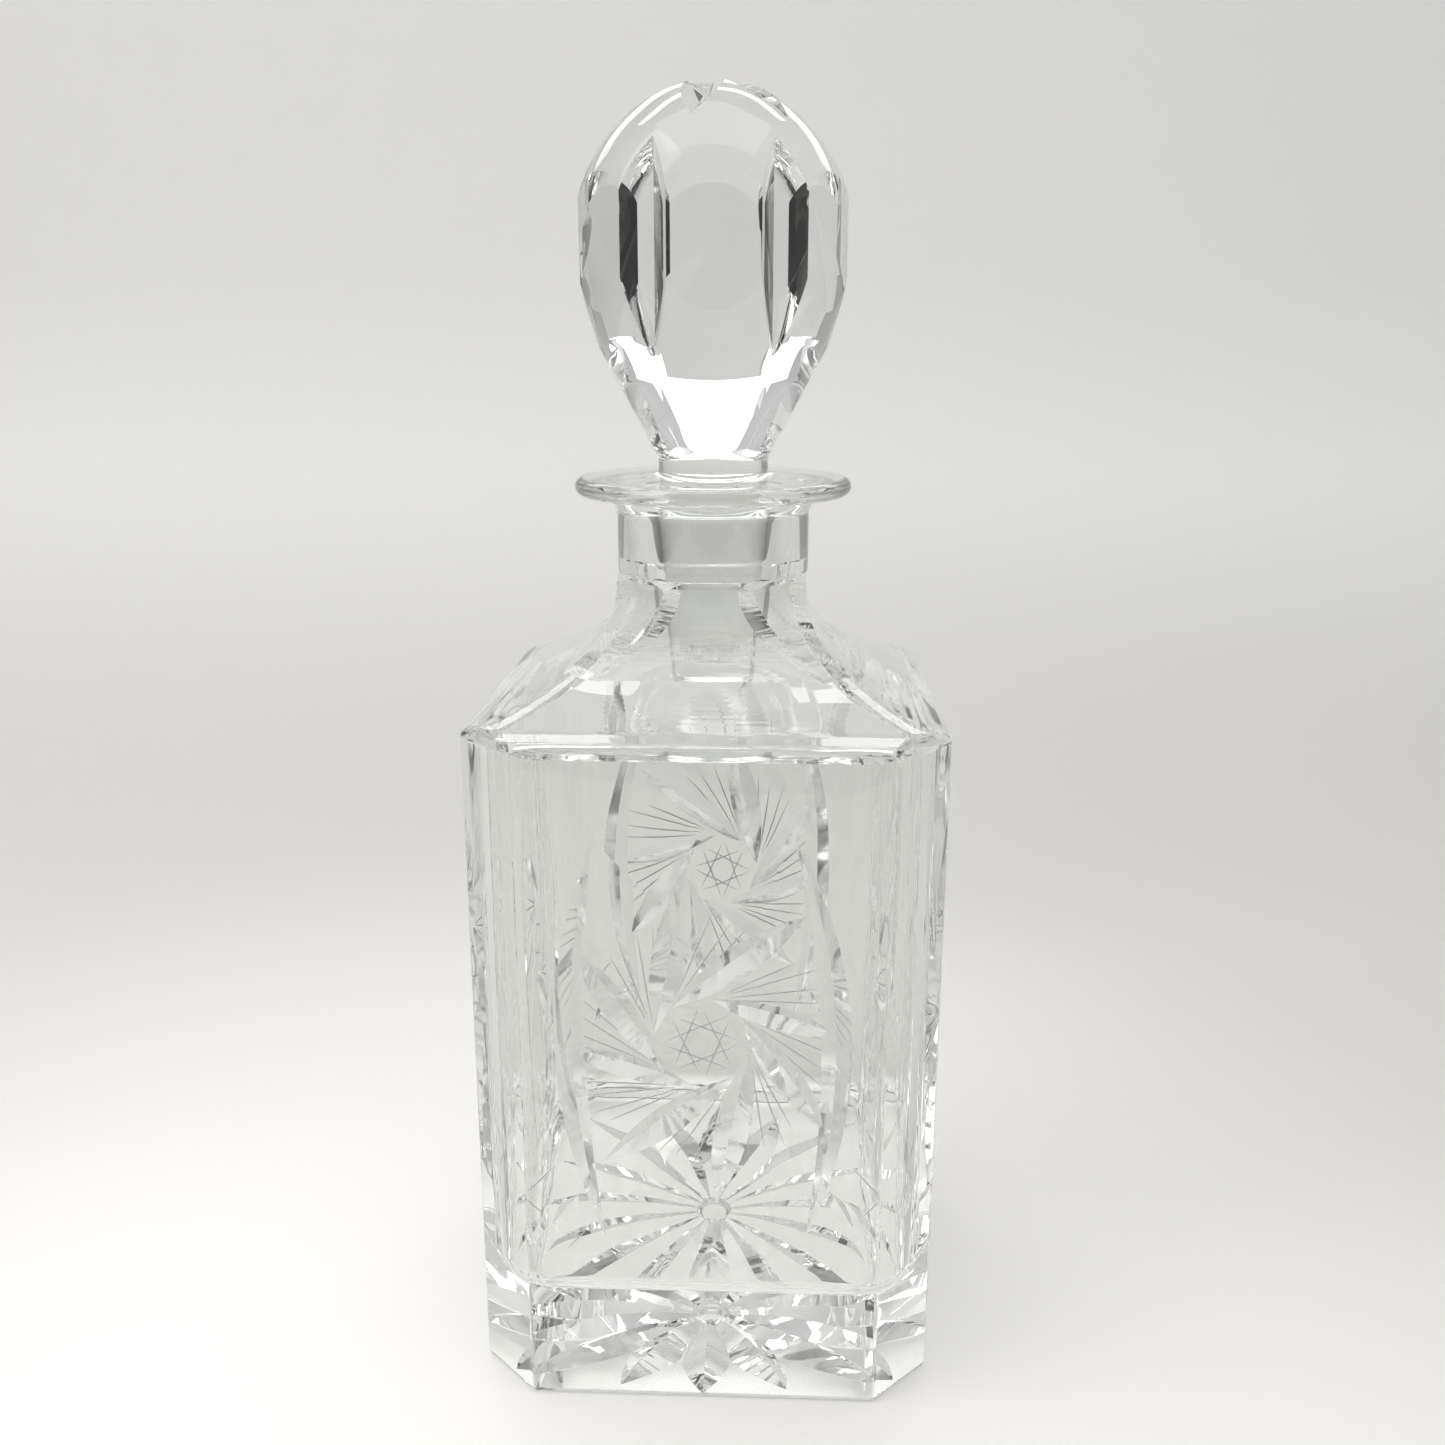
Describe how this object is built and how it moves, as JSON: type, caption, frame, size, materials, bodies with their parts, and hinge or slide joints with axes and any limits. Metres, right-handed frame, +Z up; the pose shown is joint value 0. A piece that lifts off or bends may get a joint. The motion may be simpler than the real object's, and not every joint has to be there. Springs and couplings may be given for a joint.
{
  "type": "cut crystal decanter",
  "caption": "Square cut crystal spirit decanter with chamfered corners, pinwheel cut sides, star cut base, flat lip and a solid ground glass stopper that lifts out.",
  "frame": {"origin": "centre of the base, on the surface that the decanter stands on", "axes": "+Z up along the neck's axis; the four cut sides face along X and Y"},
  "size_m": [0.092, 0.092, 0.2547],
  "materials": {
    "bottle_crystal": "polished lead crystal with polished mitre cuts and fine frosted lines",
    "stopper_crystal": "polished lead crystal with a matt ground plug"
  },
  "bodies": {
    "bottle": {"bottle": "bottle_crystal"},
    "stopper": {"stopper": "stopper_crystal"}
  },
  "joints": [
    {"name": "stopper_lift", "type": "slide", "parent": "bottle", "child": "stopper", "axis": [0, 0, 1], "range_m": [0, 0.05]}
  ]
}
